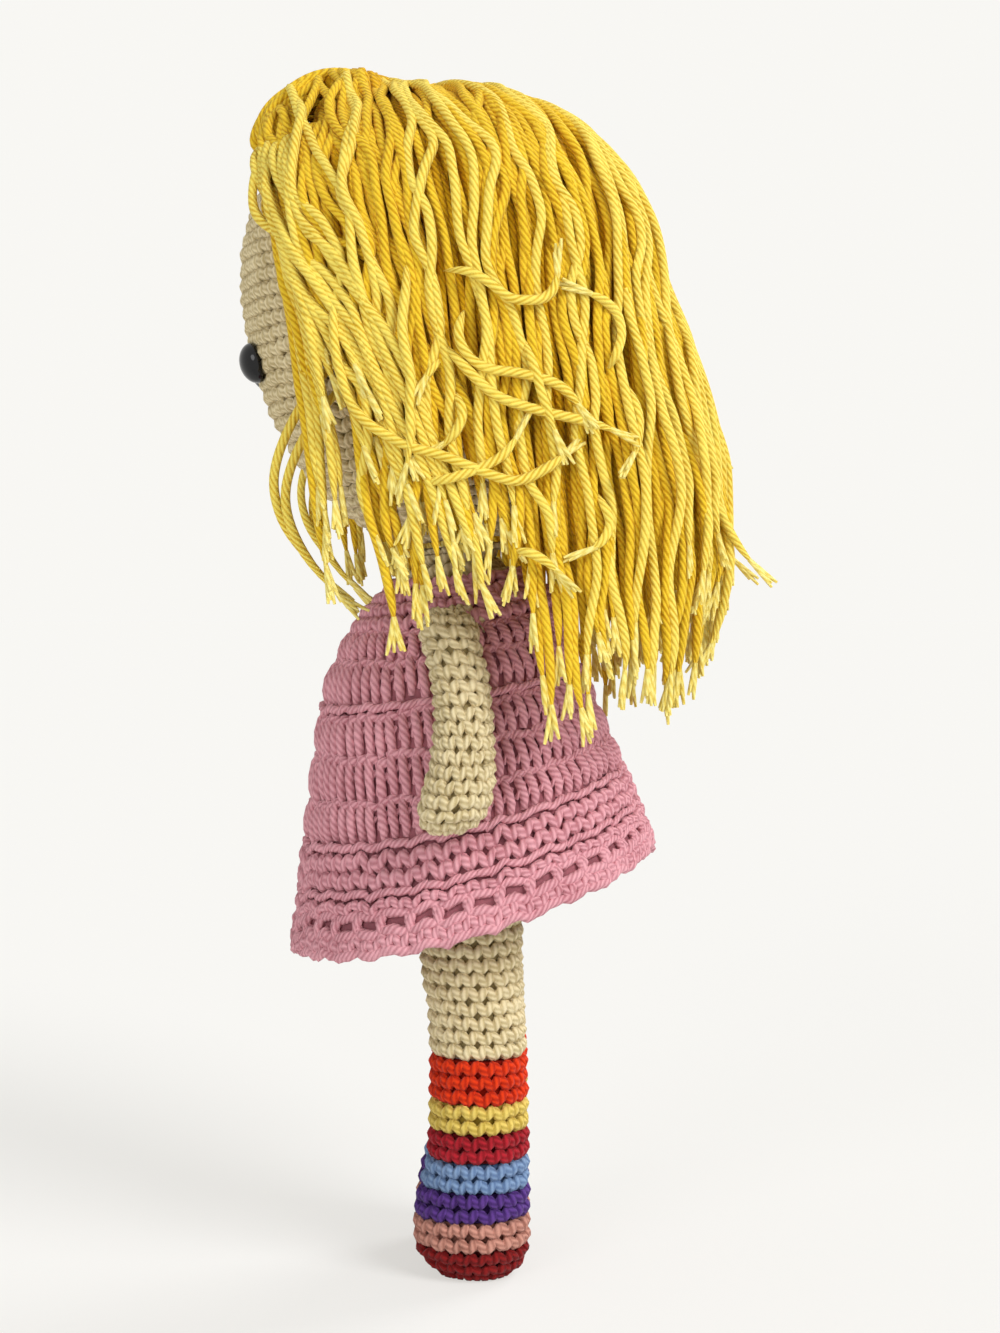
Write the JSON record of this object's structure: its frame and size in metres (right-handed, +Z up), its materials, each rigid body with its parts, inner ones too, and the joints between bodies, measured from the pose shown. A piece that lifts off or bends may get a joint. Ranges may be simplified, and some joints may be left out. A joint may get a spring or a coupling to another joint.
{
  "type": "amigurumi doll",
  "caption": "Crocheted stuffed doll with loose yarn hair, safety eyes, a bell-shaped dress with an openwork hem and striped socks; the head turns and the arms and legs swing.",
  "frame": {"origin": "on the floor under the soles, at the middle of the bounding box", "axes": "+Z up; the doll faces -Y; +X is the doll's left side"},
  "size_m": [0.125, 0.1296, 0.3114],
  "materials": {
    "skin_yarn": "single crochet in matt cotton yarn",
    "dress_yarn": "double crochet in matt cotton yarn",
    "hair_yarn": "loose plied yarn strands",
    "filling": "loose polyester fibre",
    "eye_plastic": "polished black",
    "washer_plastic": "moulded",
    "orange_red_yarn": "single crochet in matt cotton yarn",
    "yellow_yarn": "single crochet in matt cotton yarn",
    "crimson_yarn": "single crochet in matt cotton yarn",
    "light_blue_yarn": "single crochet in matt cotton yarn",
    "violet_yarn": "single crochet in matt cotton yarn",
    "salmon_yarn": "single crochet in matt cotton yarn",
    "sole_yarn": "single crochet in matt cotton yarn"
  },
  "bodies": {
    "torso": {"body_cover": "skin_yarn", "body_filling": "filling", "dress": "dress_yarn", "hem_edging": "dress_yarn", "neck_seam": "skin_yarn", "shoulder_seam_left": "skin_yarn", "shoulder_seam_right": "skin_yarn"},
    "head": {"head_cover": "skin_yarn", "head_filling": "filling", "eye_left": "eye_plastic", "eye_right": "eye_plastic", "eye_washer_left": "washer_plastic", "eye_washer_right": "washer_plastic", "fringe_left": "hair_yarn", "fringe_right": "hair_yarn", "side_hair_left": "hair_yarn", "side_hair_right": "hair_yarn", "back_hair_left": "hair_yarn", "back_hair_right": "hair_yarn"},
    "arm_left": {"arm_cover_left": "skin_yarn", "arm_filling_left": "filling"},
    "arm_right": {"arm_cover_right": "skin_yarn", "arm_filling_right": "filling"},
    "leg_left": {"leg_cover_left": "skin_yarn", "leg_filling_left": "filling", "sock_orange_red_left": "orange_red_yarn", "sock_yellow_left": "yellow_yarn", "sock_crimson_left": "crimson_yarn", "sock_light_blue_left": "light_blue_yarn", "sock_violet_left": "violet_yarn", "sock_salmon_left": "salmon_yarn", "sock_sole_left": "sole_yarn"},
    "leg_right": {"leg_cover_right": "skin_yarn", "leg_filling_right": "filling", "sock_orange_red_right": "orange_red_yarn", "sock_yellow_right": "yellow_yarn", "sock_crimson_right": "crimson_yarn", "sock_light_blue_right": "light_blue_yarn", "sock_violet_right": "violet_yarn", "sock_salmon_right": "salmon_yarn", "sock_sole_right": "sole_yarn"}
  },
  "joints": [
    {"name": "head_turn", "type": "hinge", "parent": "torso", "child": "head", "pos_m": [0, -0.00867, 0.18787], "axis": [0, -0.0958, 0.9954], "range_deg": [-20, 20], "stiffness_Nm_per_rad": 0.05},
    {"name": "arm_left_swing", "type": "hinge", "parent": "torso", "child": "arm_left", "pos_m": [0.03773, -0.00748, 0.16609], "axis": [-1, 0, 0], "range_deg": [-20, 60]},
    {"name": "arm_right_swing", "type": "hinge", "parent": "torso", "child": "arm_right", "pos_m": [-0.03773, -0.00748, 0.16609], "axis": [-1, 0, 0], "range_deg": [-20, 60]},
    {"name": "leg_left_swing", "type": "hinge", "parent": "torso", "child": "leg_left", "pos_m": [0.015, -0.00542, 0.104], "axis": [-1, 0, 0], "range_deg": [-30, 40], "stiffness_Nm_per_rad": 0.5},
    {"name": "leg_right_swing", "type": "hinge", "parent": "torso", "child": "leg_right", "pos_m": [-0.015, -0.00542, 0.104], "axis": [-1, 0, 0], "range_deg": [-30, 40], "stiffness_Nm_per_rad": 0.5}
  ]
}
